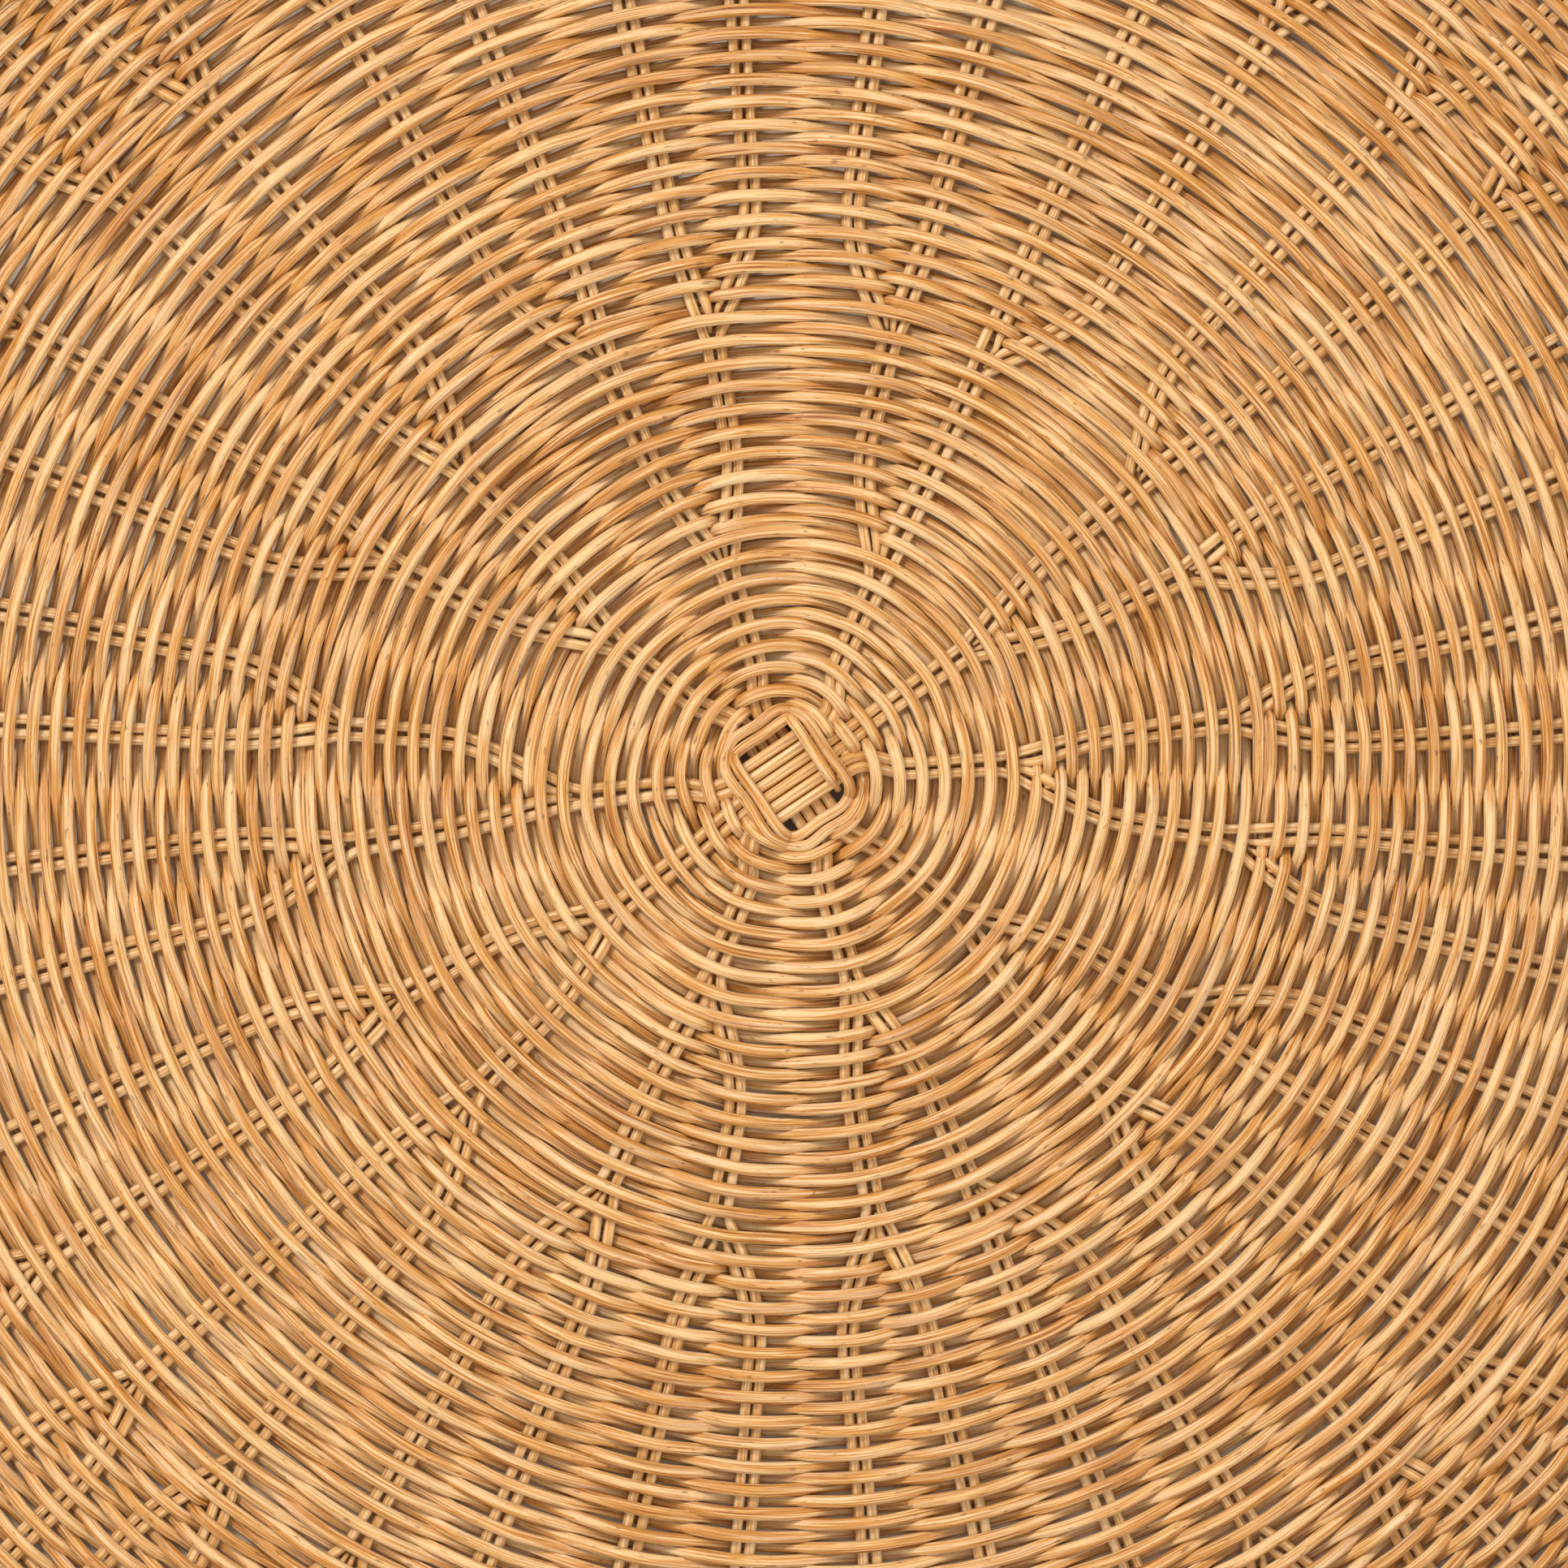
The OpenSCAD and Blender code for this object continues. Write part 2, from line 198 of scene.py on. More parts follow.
def tubes(name, path, up, half_w, half_t, shade, lift, sides=8, squareness=1.0, closed=False):
    """Tubes along m paths of n points: at each point an oval of half_w across and half_t along up,
    x = half_w cos a, y = half_t sin a, each to the power of squareness, with flat caps at the ends.
    lift is how far the path is off the mid surface. From it each vertex gets its painted shade, darkest on
    the sides of a tube near the mid surface, where pieces crowd and shade falls."""
    m, n, _ = path.shape
    if closed:
        tangent = unit(np.roll(path, -1, 1) - np.roll(path, 1, 1))
    else:
        tangent = unit(np.gradient(path, axis=1))
    side = unit(np.cross(tangent, up))
    up = np.cross(side, tangent)
    a = TAU * (np.arange(sides) + 0.5) / sides
    c, d = np.cos(a), np.sin(a)
    c, d = np.sign(c) * np.abs(c) ** squareness, np.sign(d) * np.abs(d) ** squareness
    half_w, half_t = np.broadcast_to(half_w, (m, n)), np.broadcast_to(half_t, (m, n))
    verts = (path[:, :, None] + side[:, :, None] * (half_w[..., None] * c)[..., None]
             + up[:, :, None] * (half_t[..., None] * d)[..., None])
    index = np.arange(m * n * sides).reshape(m, n, sides)
    ahead = np.roll(index, -1, 1) if closed else index[:, 1:]
    here = index if closed else index[:, :-1]
    nxt = lambda grid: np.roll(grid, -1, 2)
    quads = np.stack([here, ahead, nxt(ahead), nxt(here)], -1).reshape(-1, 4)
    run = along(path)
    rows = here.shape[1]
    u0 = np.broadcast_to(run[:, :rows, None], here.shape)
    u1 = (np.concatenate([run[:, 1:], run[:, -1:] + run[:, 1:2]], 1) if closed else run[:, 1:])[..., None]
    u1 = np.broadcast_to(u1, here.shape)
    round_mm = TAU * float(np.mean(half_w) + np.mean(half_t)) / 2
    v0 = np.broadcast_to(np.arange(sides) / sides * round_mm, here.shape)
    v1 = v0 + round_mm / sides
    uv = np.stack([np.stack([u0, v0], -1), np.stack([u1, v0], -1),
                   np.stack([u1, v1], -1), np.stack([u0, v1], -1)], -2).reshape(-1, 2)
    faces = [quads]
    if not closed:
        faces += [index[:, 0], index[:, -1, ::-1]]
        uv = np.concatenate([uv, np.zeros((2 * m * sides, 2))])
    shade = np.broadcast_to(np.broadcast_to(shade, (m, n))[..., None], verts.shape[:3])
    # Painted shade between pieces: strongest on a tube's sides at the mid surface, fading to none farther
    # off it
    height = np.broadcast_to(lift, (m, n))[..., None] + half_t[..., None] * d
    painted_gap_shade = np.clip(1 - np.abs(height) / GAP_SHADE_REACH, 0, 1) * np.cos(a) ** 2
    return make_mesh(name, verts.reshape(-1, 3), faces, uv, shade.ravel(), painted_gap_shade.ravel())


def curve_through(points, each):
    """A smooth curve through points (Catmull-Rom), with this many steps from one point to the next."""
    p = np.concatenate([points[:1], points, points[-1:]])
    t = (np.arange(each) / each)[:, None, None]
    a, b, c, d = p[:-3], p[1:-2], p[2:-1], p[3:]
    q = 0.5 * (2 * b + (c - a) * t + (2 * a - 5 * b + 4 * c - d) * t**2 + (3 * b - a - 3 * c + d) * t**3)
    return np.concatenate([q.transpose(1, 0, 2).reshape(-1, 3), points[-1:]])


# ---------------------------------------------------------------- materials
def colour(code):
    """An sRGB hex colour as linear red, green, blue and alpha."""
    c = np.array([int(code[i:i + 2], 16) for i in (1, 3, 5)]) / 255
    return (*np.where(c <= 0.04045, c / 12.92, ((c + 0.055) / 1.055) ** 2.4), 1.0)


def add(tree, kind, inputs=(), **settings):
    """Adds a node with its settings. An input is a value, or an output of another node to link."""
    n = tree.nodes.new(kind)
    for key, value in settings.items():
        setattr(n, key, value)
    for key, value in dict(inputs).items():
        if isinstance(value, bpy.types.NodeSocket):
            tree.links.new(value, n.inputs[key])
        else:
            n.inputs[key].default_value = value
    return n


def ramp(tree, value, stops):
    """A colour ramp over a value, from (place, colour) stops."""
    n = add(tree, "ShaderNodeValToRGB", {"Fac": value})
    marks = n.color_ramp.elements
    while len(marks) < len(stops):
        marks.new(0.5)
    for mark, (place, tone) in zip(marks, stops):
        mark.position = place
        mark.color = colour(tone) if isinstance(tone, str) else (tone, tone, tone, 1)
    return n.outputs["Color"]


def fibre_material(name, tones, gap_shade_colour, fleck_tone, fibre_mm, roughness, bump, bleach):
    """A plant material with fibres that run along each piece.
    tones: colours from dark to light, picked by the piece's own shade, its mottling and its streaks.
    gap_shade_colour: the painted shade colour, given deep between two pieces where shade falls. fleck_tone:
    the colour of a cut pore.
    fibre_mm: the width of a fibre. bleach: how strongly pale, weathered fibres show."""
    material = bpy.data.materials.new(name)
    material.use_nodes = True
    tree = material.node_tree
    tree.nodes.clear()
    uv = add(tree, "ShaderNodeUVMap", uv_map="along_round").outputs["UV"]
    place = add(tree, "ShaderNodeTexCoord").outputs["Object"]
    shade = add(tree, "ShaderNodeAttribute", attribute_name="shade").outputs["Fac"]
    # The painted shade between pieces, as the mesh carries it
    painted_gap_shade = add(tree, "ShaderNodeAttribute", attribute_name="painted_gap_shade").outputs["Fac"]

    def fibres(length_mm, width_mm, detail):
        """Noise drawn out along the piece, different for each shade."""
        size = (1000 / length_mm, 1000 / width_mm, 1)
        scaled = add(tree, "ShaderNodeMapping", {"Vector": uv, "Scale": size}).outputs["Vector"]
        moved = add(tree, "ShaderNodeVectorMath", {0: scaled, 1: place}, operation="ADD").outputs["Vector"]
        return add(tree, "ShaderNodeTexNoise", {"Vector": moved, "W": shade, "Scale": 1.0,
                                                "Detail": detail}, noise_dimensions="4D").outputs["Fac"]

    streak = fibres(18, fibre_mm, 4)
    long_streak = fibres(60, fibre_mm * 2.5, 2)
    fleck = fibres(3.5, 0.9, 1)
    mottle = add(tree, "ShaderNodeTexNoise", {"Vector": place, "Scale": 45.0, "Detail": 2.0}).outputs["Fac"]

    def sum_of(*terms):
        """The sum of values, each times its weight."""
        total = None
        for value, weight in terms:
            part = add(tree, "ShaderNodeMath", {0: value, 1: weight}, operation="MULTIPLY").outputs[0]
            total = part if total is None else add(
                tree, "ShaderNodeMath", {0: total, 1: part}, operation="ADD").outputs[0]
        return total

    pick = sum_of((shade, 0.16), (streak, 1.1), (long_streak, 0.55), (mottle, 0.1))
    base = ramp(tree, pick, [(0.68, tones[0]), (0.88, tones[1]), (1.0, tones[2]), (1.2, tones[3])])
    pale = ramp(tree, fibres(30, fibre_mm * 2, 3), [(0.5, 0.0), (0.66, bleach)])
    spots = ramp(tree, fleck, [(0.66, 0.0), (0.74, 0.55)])
    # Painted shade: the sides of each piece near the mid surface are darkened towards the gap colour
    low = ramp(tree, painted_gap_shade, [(0.34, 0.0), (0.84, 0.95)])
    for mask, tone in ((pale, "#e6cfae"), (spots, fleck_tone), (low, gap_shade_colour)):
        base = add(tree, "ShaderNodeMix", {0: mask, 6: base, 7: colour(tone)}, data_type="RGBA").outputs[2]
    rough = add(tree, "ShaderNodeMapRange", {"Value": long_streak, "To Min": roughness - 0.08,
                                             "To Max": roughness + 0.12}).outputs["Result"]
    grain = sum_of((streak, 0.7), (long_streak, 0.5), (fleck, 0.3))
    raised = add(tree, "ShaderNodeBump", {"Height": grain, "Strength": bump, "Distance": 0.0006})
    shader = add(tree, "ShaderNodeBsdfPrincipled", {
        "Base Color": base, "Roughness": rough, "Normal": raised.outputs["Normal"], "IOR": 1.46})
    add(tree, "ShaderNodeOutputMaterial", {"Surface": shader.outputs["BSDF"]})
    return material


# Rattan core, peeled and drawn round through a die: straight pores and fibres run its whole length,
# with dark flecks where a pore is cut open, and a soft satin shine on top of each bend
# The third colour given to each material is its painted shade between pieces
weaver_core = fibre_material("peeled_rattan_core_weavers", ("#8f4b10", "#cf8e42", "#dea660", "#eac38b"),
                             "#441702", "#5c2c0c", 0.42, 0.34, 1.0, 0.42)
cane_core = fibre_material("peeled_rattan_core_canes", ("#b07834", "#d49b54", "#e3b36f", "#efcb95"),
                           "#4a1c04", "#7a471f", 0.42, 0.36, 0.8, 0.15)
# Ash strip, steamed and bent: long open grain, darkened and polished by hands
hoop_wood = fibre_material("steamed_ash_strip", ("#5e3212", "#8a5227", "#a76c38", "#bd8450"),
                           "#2f1606", "#3c1d0a", 0.9, 0.42, 0.5, 0.12)
# Whole cane with its skin on: hard, smooth and shinier than the core
whole_cane = fibre_material("whole_rattan_cane", ("#9c6632", "#c08a4e", "#cf9c60", "#dfb47a"),
                            "#4a240c", "#6a4019", 1.1, 0.34, 0.15, 0.1)
# Split cane skin: a glossy outer face with faint lengthwise lines
cane_skin = fibre_material("split_cane_skin", ("#b87f43", "#d8a468", "#e6b87f", "#f2cf9f"),
                           "#5c3010", "#8a5a2a", 0.6, 0.32, 0.2, 0.1)


def finish_piece(piece, material, node):
    """Gives a piece its material, its body and the CAD node that it stands for."""
    piece.data.materials.append(material)
    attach(piece, "root")
    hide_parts(node)


# ---------------------------------------------------------------- canes
def pair_half(s):
    """Half the distance between a pair's centre lines: close after each split, wider further out."""
    out = np.full(np.shape(s), 1.5)
    for level in range(4):
        far = LEAVE[level + 1] if level < 3 else FOOT_S
        grown = 0.35 if level < 3 else 0.2
        ring = (s >= LEAVE[level]) & (s < far)
        fall = 0 if level == 0 else 0.5 * (1 - parting(s, level))
        out = np.where(ring, 1.6 + fall + grown * smooth(s, SETTLE[level], far), out)
    return np.where(s >= FOOT_S, 1.85, out)


def cane_track(start_level, pair, side, s):
    """The angle of one cane at s. Where a pair splits, the two old canes go outwards, and the two new
    ones start between them: a new cane lies at least its own half thickness from the split's middle."""
    angle = np.zeros_like(s)
    for level in range(start_level, 4):
        begin = LEAVE[level] if level > start_level else 0
        end = LEAVE[level + 1] if level < 3 else np.inf
        here = (s >= begin) & (s < end)
        half = pair_half(s)
        if level == 0:
            track = FIRST[pair] + np.degrees(side * half / np.maximum(s, MIDDLE_R))
        else:
            new = level == start_level
            own_side = -1 if pair % 2 == 0 else 1
            first = pair - pair % 2
            one, two = pair_angle(level, first, s), pair_angle(level, first + 1, s)
            middle, apart = (one + two) / 2, np.radians(two - one) * radius_at(s)
            point = np.clip(0.6 + (s - LEAVE[level] - 2) / 10, 0.5, CANE_D / 2)
            inner = np.maximum(apart / 2 - half, point + 0.05)
            taken = np.where(s > LEAVE[level] + 2, point, 0)
            outer = np.maximum(apart / 2 + half, inner + taken + CANE_D / 2)
            track = middle + own_side * np.degrees((inner if new else outer) / radius_at(s))
        angle = np.where(here, track, angle)
        pair = 2 * pair + (1 if side > 0 else 0)
    return angle


def wobble(n):
    """A slow unevenness of a cane's line, in millimetres."""
    return drift(np.arange(n), 9, 0.14)


def base_cane(name, node, first, count, turn, i, z):
    """Base cane i of a group of count: straight through the middle at height z, then out along the
    lines of its two pairs. first: the group's first pair. turn: which way the group runs."""
    ends = []
    s = np.arange(0, END_S + CANE_STEP / 2, CANE_STEP)
    s[-1] = END_S - rng.uniform(0, 2.5)
    for end in (1, -1):
        half = i // 2
        pair = first + (half if end > 0 else 5 + count // 2 - 1 - half)
        side = (1 if i % 2 else -1) * end
        across = end * (2 * half + 1 - count / 2) * PITCH + side * PITCH / 2
        out = math.radians(turn if end > 0 else turn + 180)
        angle = cane_track(0, pair, side, s) + np.degrees(wobble(len(s)) / np.maximum(s, 20))
        point, normal = surface(s, angle, drift(s, 30, 0.06))
        straight = np.stack([s * math.cos(out) - across * math.sin(out),
                             s * math.sin(out) + across * math.cos(out), 0 * s + z], -1)
        reach = 13.5 if count == 6 else 16.5
        w = smooth(s, reach - 3, 31)[:, None]
        level_w = smooth(s, reach, 29)[:, None]
        mixed = straight * (1 - w) + point * w
        mixed[:, 2] = (straight[:, 2:] * (1 - level_w) + point[:, 2:] * level_w)[:, 0]
        ends.append((mixed, normal))
    path = np.concatenate([ends[1][0][:0:-1], ends[0][0]])
    up = np.concatenate([ends[1][1][:0:-1], ends[0][1]])
    n = len(path)
    radius = CANE_D / 2 * (1 + drift(np.arange(n), 12, 0.02))
    # This lift only sets the painted shade on the canes' sides: little in the crossed middle, more out in
    # the weave
    lift = np.where(np.hypot(path[:, 0], path[:, 1]) < 24, 1.2, 0.25)
    shade = 0.35 + 0.5 * rng.random() + drift(np.arange(n), 40, 0.08)
    piece = tubes(name, path[None], up[None], CANE_W * radius[None], radius[None],
                  shade[None], lift[None], 10)
    finish_piece(piece, cane_core, node)


for i in range(6):
    base_cane(f"upper_cane_{i + 1}", f"upper_base_cane_{i + 1}", 0, 6, CROSS_TURN, i, UPPER_Z)
for i in range(4):
    base_cane(f"lower_cane_{i + 1}", f"lower_base_cane_{i + 1}", 3, 4, CROSS_TURN + 90, i, LOWER_Z)


def pushed_in(level, family, name, node):
    """One family's canes pushed in at a ring's start. Each is cut to a slanting point over 12 mm."""
    count = len(PAIRS[level]) // 10
    n = int((END_S - LEAVE[level] - 2) / CANE_STEP) + 1
    paths, ups, radii, shades = [], [], [], []
    for pair in range(family * count, (family + 1) * count):
        side = 1 if pair % 2 == 0 else -1
        s = np.linspace(LEAVE[level] + 2 + rng.uniform(-3, 3), END_S - rng.uniform(0, 2.5), n)
        angle = cane_track(level, pair, side, s) + np.degrees(wobble(n) / radius_at(s))
        point, normal = surface(s, angle, drift(s, 30, 0.06))
        paths.append(point)
        ups.append(normal)
        radii.append(np.clip(0.5 + (s - s[0]) / 9, 0.5, CANE_D / 2) * (1 + drift(s, 30, 0.02)))
        shades.append(0.35 + 0.5 * rng.random() + drift(s, 100, 0.08))
    # The lift of 0.25 sets the painted shade on the canes' sides
    piece = tubes(name, np.array(paths), np.array(ups), CANE_W * np.array(radii), np.array(radii),
                  np.array(shades), 0.25, 10 if level < 3 else 8)
    finish_piece(piece, cane_core, node)


for level, word in ((1, "first"), (2, "second"), (3, "third")):
    for family in range(10):
        pushed_in(level, family, f"{word}_new_canes_{family + 1}", f"{word}_pushed_in_canes_{family + 1}")


# ---------------------------------------------------------------- the tie round the crossed canes
def tie(name, node, starts_high):
    """One weaver of the pairing round the cross, two rounds: over one arm, under the next, with the
    other weaver the other way about. A curve through the ends and middles of its strokes, with a
    tail that lies in the last corner, and with both its ends drawn in towards the mid surface."""
    step, tie_pitch = 3.05, 3.1
    tie_x, tie_y = 2 * PITCH + 2.1, 3 * PITCH + 2.3
    arm_y, arm_x = 2.5 * PITCH + 2.5, 1.5 * PITCH + 2.7
    points = []
    for k in range(8):
        grow = tie_pitch * (k / 4)
        x, y = tie_x + grow, tie_y + grow
        upper_arm = k % 2 == 0
        sign = 1 if (k % 2 == 0) == starts_high else -1
        z = (UPPER_Z if upper_arm else LOWER_Z) + sign * step
        ends = [(x, -arm_y), (x, 0), (x, arm_y)] if upper_arm else [(arm_x, y), (0, y), (-arm_x, y)]
        if k % 4 > 1:
            ends = [(-a, -b) for a, b in ends]
        points += [(a, b, z + (0.25 * sign if j == 1 else 0)) for j, (a, b) in enumerate(ends)]
    points.append((tie_x + 5.0, -y + 3.9, MID_Z + 1.3 * sign))
    points.append((tie_x + 6.4, -y + 7.6, MID_Z + 1.3 * sign))
    points = np.array(points)
    t = math.radians(CROSS_TURN)
    points = np.stack([points[:, 0] * math.cos(t) - points[:, 1] * math.sin(t),
                       points[:, 0] * math.sin(t) + points[:, 1] * math.cos(t), points[:, 2]], -1)
    path = curve_through(points, 8)
    up = np.broadcast_to([0.0, 0.0, 1.0], path.shape)
    run = along(path[None])[0]
    tucked = smooth(run, 0, 5) * smooth(run[-1] - run, 0, 5)
    path = path - up * (0.8 * (1 - tucked) * (path[:, 2] - MID_Z))[:, None]
    radius = WEAVER_D / 2 * (1 + drift(run, 12, 0.03)) * (0.6 + 0.4 * tucked)
    shade = 0.5 + drift(run, 30, 0.2)
    piece = tubes(name, path[None], up[None], radius[None], radius[None], shade[None],
                  (path[:, 2] - MID_Z)[None], 10)
    finish_piece(piece, weaver_core, node)


tie("tie_weaver_over", "slath_tie_top", True)
tie("tie_weaver_under", "slath_tie_bottom", False)


# ---------------------------------------------------------------- weave
def waver(angle, s):
    """The slow wander of the rows as one block, in millimetres: a few sines of angle and s."""
    a = np.radians(angle)
    return 0.5 * np.sin(3 * a + s / 23 + 1.3) + 0.22 * np.sin(7 * a - s / 17)


def squared(angle, s):
    """How far the first rows are pulled in where they cross the arms of the middle."""
    a = np.radians(angle - CROSS_TURN)
    return (0.1 + 1.4 * np.cos(2 * a) + 0.45 * np.cos(4 * a)) * (1 - smooth(s, START_S, START_S + 34))


def weaver(name, node, level, which, start, turns, each, sides):
    """One of two weavers of a stretch of plain weave, as a spiral of two rows a turn. At crossing k it
    is over a pair or under it by turns: lift = h cos(pi v), with v from 0 at one pair to 1 at the next
    and level over each pair. Between pairs it takes the straight way, which is nearer the middle."""
    n = len(PAIRS[level])
    k = np.arange(-n // 2 if level == 0 and which else 0, int(round(turns * n)) + 1)
    pair = k % n
    s = start + 2 * ROW * k / n + ROW * which
    angle = np.array([pair_angle(level, p, v) for p, v in zip(pair, s)]) + 360 * (k // n)
    over = np.where(pair % 2 == which, 1.0, -1.0)
    high = over * (CANE_D + WEAVER_D) / 2 * (1 + np.clip(rng.normal(0, 0.035, len(k)), -0.1, 0.04))
    if level == 0:
        rise = np.where(np.isin(pair, UPPER_PAIRS), UPPER_Z, LOWER_Z) - MID_Z
        high = high + rise * (1 - smooth(s - squared(angle, s), 15, 29))
    s = s + rng.normal(0, 0.1, len(k))
    u = np.arange(each) / each
    gap_deg = np.diff(angle)[:, None]
    gap = np.radians(gap_deg) * radius_at(s)[:-1, None]
    flat = np.minimum(2.3, 0.22 * gap)
    v = np.clip((u * gap - flat) / (gap - 2 * flat), 0, 1)
    swing = (1 - np.cos(np.pi * v)) / 2
    lift = (high[:-1, None] * (1 - swing) + high[1:, None] * swing).ravel()
    a = (angle[:-1, None] + gap_deg * u).ravel()
    sag = 0.12 * gap**2 / (8 * radius_at(s)[:-1, None]) * (1 - np.cos(TAU * u)) / 2
    line = (s[:-1, None] + (s[1:] - s[:-1])[:, None] * u - sag).ravel()
    line = line + waver(a, line) - (squared(a, line) if level == 0 else 0)
    point, normal = surface(line, a, lift)
    run = along(point[None])[0]
    line = line + drift(run, 9, 0.08) + drift(run, 60, 0.1)
    point, normal = surface(line, a, lift)
    tucked = smooth(run, 0, 7) * smooth(run[-1] - run, 0, 7)
    point = point - normal * ((1 - tucked) * lift)[:, None]
    radius = 1.0 + np.clip(drift(run, 14, 0.022) + drift(run, 120, 0.022), -0.08, 0.05)
    radius = radius * (0.7 + 0.3 * tucked)
    tone = 0.2 + 0.6 * rng.random(int(run[-1] / CUT_L) + 2)
    shade = tone[(run / CUT_L).astype(int)] + drift(run, 160, 0.12)
    piece = tubes(name, point[None], normal[None], WEAVER_W / 2 * radius[None],
                  WEAVER_D / 2 * radius[None], shade[None], lift[None], sides)
    finish_piece(piece, weaver_core, node)


# Each stretch of weave: its name and CAD node, the level of its pairs, how many turns each weaver
# makes (those of the rim rows follow from the room), steps from pair to pair, and sides of the tube
STRETCHES = (("ring_one", "weave_ring_first", 0, 8, 18, 10),
             ("ring_two", "weave_ring_second", 1, 10, 18, 8),
             ("ring_three", "weave_ring_third", 2, 19, 14, 8),
             ("ring_four", "weave_ring_fourth", 3, 9, 12, 8),
             ("wall_foot", "turn_weave", 3, 7, 12, 8),
             ("wall", "wall_weave", 3, 5.5, 12, 8),
             ("rim_rows", "rim_weave", 3, None, 12, 8))
start = START_S
for name, node, level, turns, each, sides in STRETCHES:
    if name == "rim_rows":
        start = FOOT_S + LASH_LOW + 2.2
        turns = int((END_S - start - 3.5) / (2 * ROW))
    for which, letter in enumerate("ab"):
        weaver(f"{name}_weaver_{letter}", node, level, which, start, turns, each, sides)
    start += 2 * ROW * turns


# ---------------------------------------------------------------- rim
def across_wall(angle, across, height):
    """A point this far outwards across the wall from its middle, and this far up its slope."""
    return surface(FOOT_S + height, angle, -across)


def ring_path(across, height):
    """A closed path round the rim at one place in its section, with its angles and normals."""
    a = np.linspace(0, 360, RIM_STEPS, endpoint=False)
    point, normal = across_wall(a, across, height)
    return a, point[None], normal[None]


def hoop(name, node, across):
    """A bent strip: a rounded oblong carried round the rim, this far outwards from the wall's middle."""
    a, path, normal = ring_path(across, HOOP_FOOT + HOOP_W / 2)
    shade = 0.5 + 0.15 * np.sin(np.radians(2 * a))
    piece = tubes(name, path, normal, HOOP_W / 2, HOOP_T / 2, shade[None], CLEAR, 24, 0.32, True)
    finish_piece(piece, hoop_wood, node)


hoop("inner_hoop", "inner_rim_hoop", -(HOOP_IN + HOOP_T / 2))
hoop("outer_hoop", "outer_rim_hoop", HOOP_IN + HOOP_T / 2)
filler_at = WALL_L + RIM_GAP + FILLER_D / 2
_, path, normal = ring_path(0.0, filler_at)
piece = tubes("filler_cane", path, normal, FILLER_D / 2, FILLER_D / 2, 0.5, CLEAR, 16, 1.0, True)
finish_piece(piece, whole_cane, "rim_filler_cane")


def lashing(name, node):
    """One strip wound round the rim once for each gap between pairs. In section it follows the rim's
    outline with rounded corners. It goes through the wall in a gap and moves on to the next gap round
    the outside, over the top and down the inside."""
    side = HOOP_IN + HOOP_T + RIM_GAP + LASH_T / 2
    top = filler_at + FILLER_D / 2 + RIM_GAP + LASH_T / 2
    shoulder = WALL_L + HOOP_RISE + RIM_GAP + LASH_T / 2
    low = LASH_LOW - LASH_T / 2
    crown = FILLER_D / 3 + LASH_T / 4
    corners = np.array([[-side, low], [side, low], [side, shoulder], [crown, top],
                        [-crown, top], [-side, shoulder], [-side, low]])
    run = np.concatenate([[0], np.cumsum(np.hypot(*np.diff(corners, axis=0).T))])
    steps = 72
    at = np.arange(steps) / steps * run[-1]
    outline = np.stack([np.interp(at, run, corners[:, j]) for j in (0, 1)], -1)
    kernel = np.array([1, 2, 1]) / 4
    for _ in range(2):
        outline = sum(w * np.roll(outline, j - 1, 0) for j, w in enumerate(kernel))
    gaps = (FOURTH + np.roll(FOURTH, -1)) / 2
    gaps[-1] += 180
    gaps = np.append(gaps, gaps[0] + 360)
    move = smooth(at / run[-1], run[1] / run[-1], 1.0)
    angle = (gaps[:-1, None] + np.diff(gaps)[:, None] * move).ravel()
    across = np.tile(outline[:, 0], len(FOURTH))
    height = np.tile(outline[:, 1], len(FOURTH))
    point, _ = across_wall(angle, across, height)
    out = np.roll(outline, -1, 0) - np.roll(outline, 1, 0)
    out = np.stack([out[:, 1], -out[:, 0]], -1) / np.hypot(out[:, 0], out[:, 1])[:, None]
    tip, _ = across_wall(angle, across + np.tile(out[:, 0], len(FOURTH)),
                         height + np.tile(out[:, 1], len(FOURTH)))
    shade = 0.5 + drift(along(point[None])[0], 300, 0.15)
    piece = tubes(name, point[None], (tip - point)[None], LASH_W / 2, LASH_T / 2, shade[None],
                  CLEAR, 12, 0.45)
    finish_piece(piece, cane_skin, node)


lashing("rim_strip", "rim_lashing")


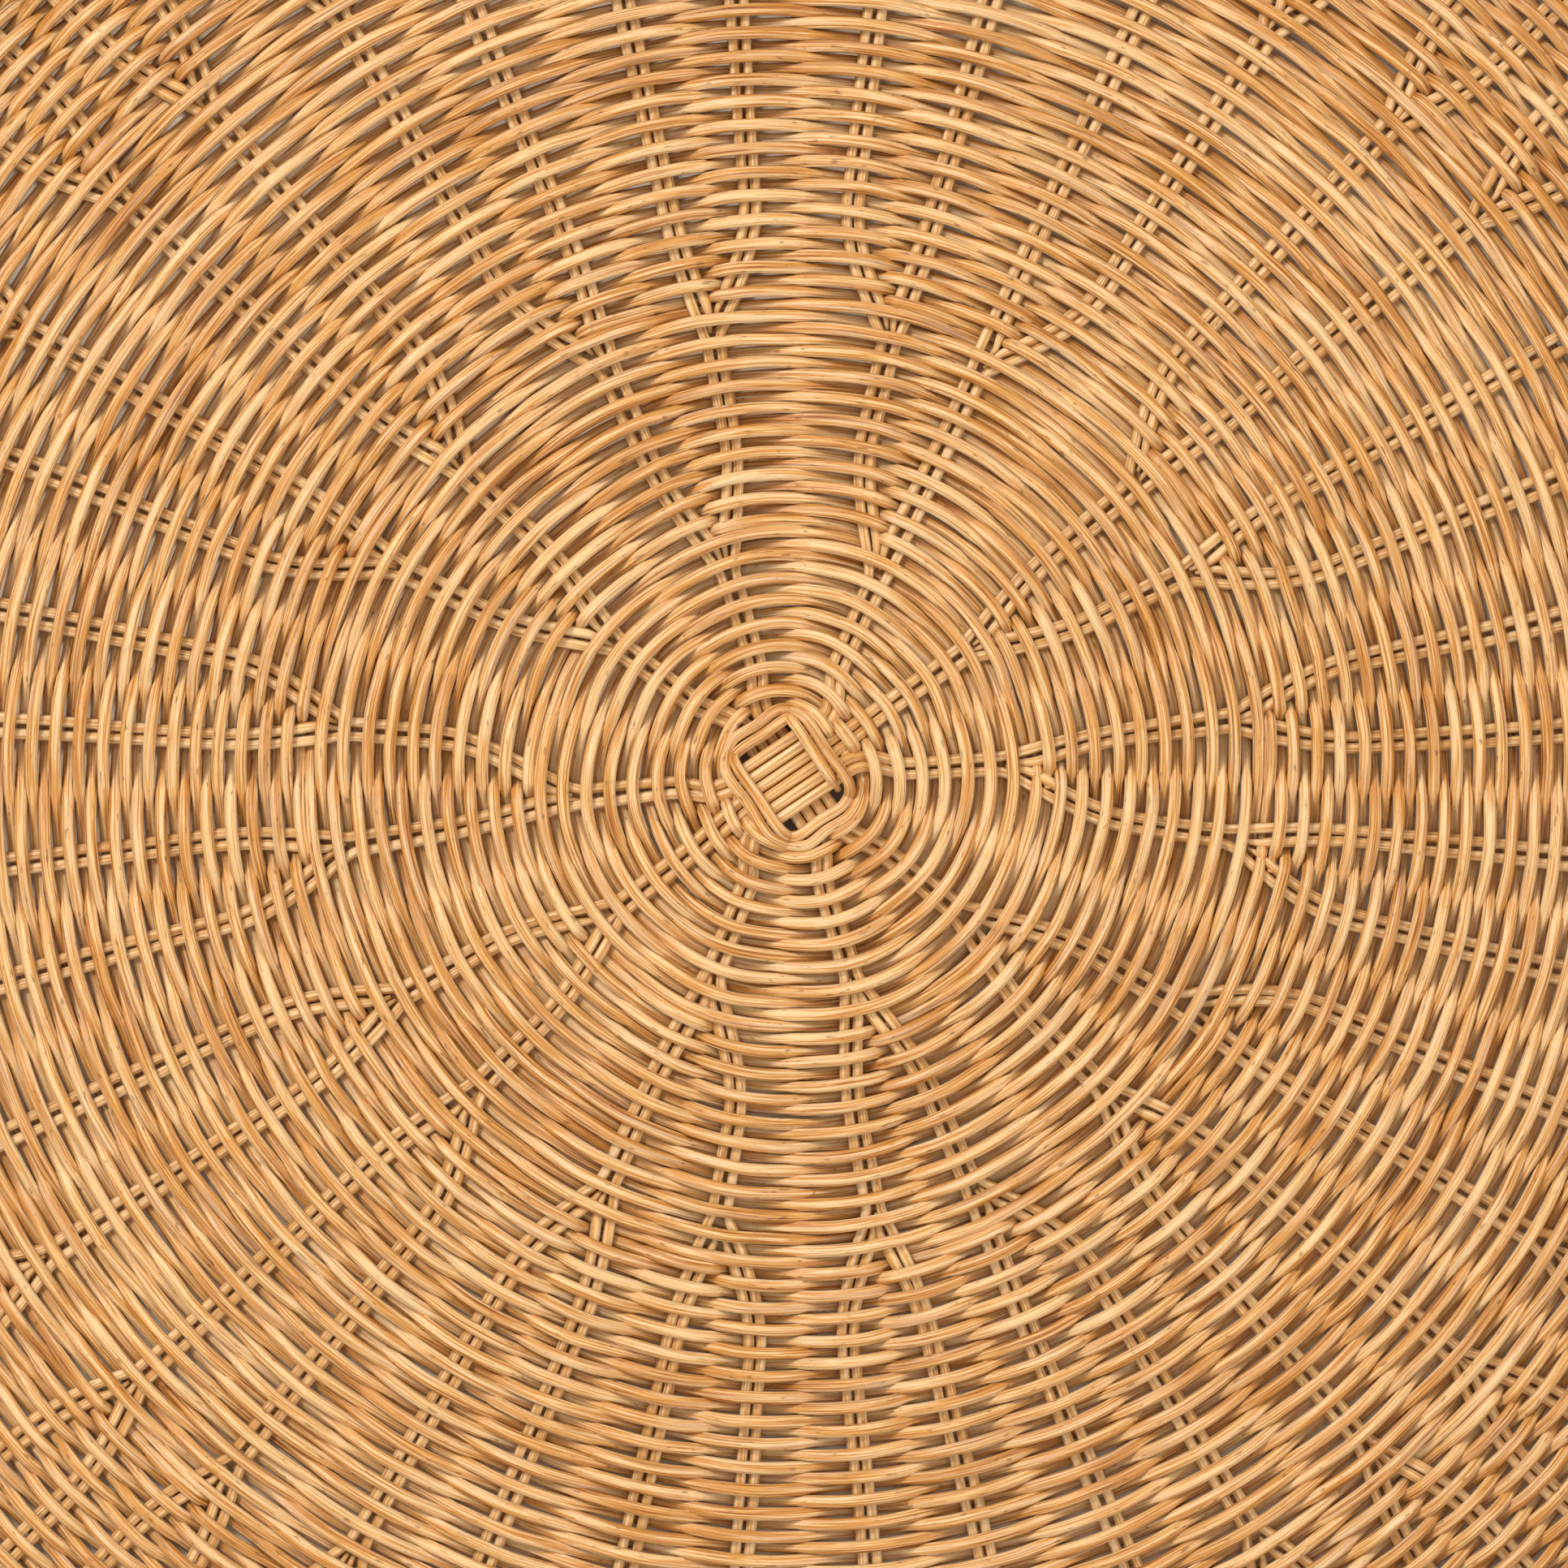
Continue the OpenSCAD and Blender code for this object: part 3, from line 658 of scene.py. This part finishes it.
# ---------------------------------------------------------------- floor, light and camera
def floor_material():
    """Matt pale card, with the faintest unevenness."""
    material = bpy.data.materials.new("pale_matt_floor")
    material.use_nodes = True
    tree = material.node_tree
    tree.nodes.clear()
    place = add(tree, "ShaderNodeTexCoord").outputs["Object"]
    cloud = add(tree, "ShaderNodeTexNoise", {"Vector": place, "Scale": 3.0}).outputs["Fac"]
    tone = ramp(tree, cloud, [(0.3, "#cec2b0"), (0.7, "#d5cab9")])
    shader = add(tree, "ShaderNodeBsdfPrincipled", {"Base Color": tone, "Roughness": 0.85})
    add(tree, "ShaderNodeOutputMaterial", {"Surface": shader.outputs["BSDF"]})
    return material


floor_mesh = bpy.data.meshes.new("floor")
floor_mesh.from_pydata([(-6, -6, 0), (6, -6, 0), (6, 6, 0), (-6, 6, 0)], [], [(0, 1, 2, 3)])
floor = bpy.data.objects.new("floor", floor_mesh)
bpy.context.scene.collection.objects.link(floor)
floor.data.materials.append(floor_material())


def softbox(name, at, size, watts, tone):
    """A square area light that faces the basket's middle."""
    data = bpy.data.lights.new(name, "AREA")
    data.size, data.energy, data.color = size, watts, colour(tone)[:3]
    lamp = bpy.data.objects.new(name, data)
    bpy.context.scene.collection.objects.link(lamp)
    lamp.location = at
    direction = -np.array(at) / np.linalg.norm(at)
    lamp.rotation_mode = "QUATERNION"
    lamp.rotation_quaternion = Vector(direction).to_track_quat("-Z", "Y")


softbox("key_light", (-0.9, 1.0, 1.7), 0.6, 30, "#fffaf4")
softbox("fill_light", (1.4, -0.9, 1.8), 2.0, 16, "#fdfbf7")
world = bpy.data.worlds.new("studio")
world.use_nodes = True
world.node_tree.nodes["Background"].inputs["Color"].default_value = colour("#fbf9f6")
world.node_tree.nodes["Background"].inputs["Strength"].default_value = 0.74
bpy.context.scene.world = world
bpy.context.scene.view_settings.view_transform = "Standard"

VIEW_W, VIEW_H = 406.7, 1300.0   # the width that is seen, and the camera's height, in millimetres
camera_data = bpy.data.cameras.new("camera")
camera = bpy.data.objects.new("camera", camera_data)
bpy.context.scene.collection.objects.link(camera)
camera_data.sensor_width = 36
camera_data.lens = 36 * (VIEW_H - MID_Z - 3) / VIEW_W
camera.location = (-1.47 * MM, -2.3 * MM, VIEW_H * MM)
bpy.context.scene.camera = camera
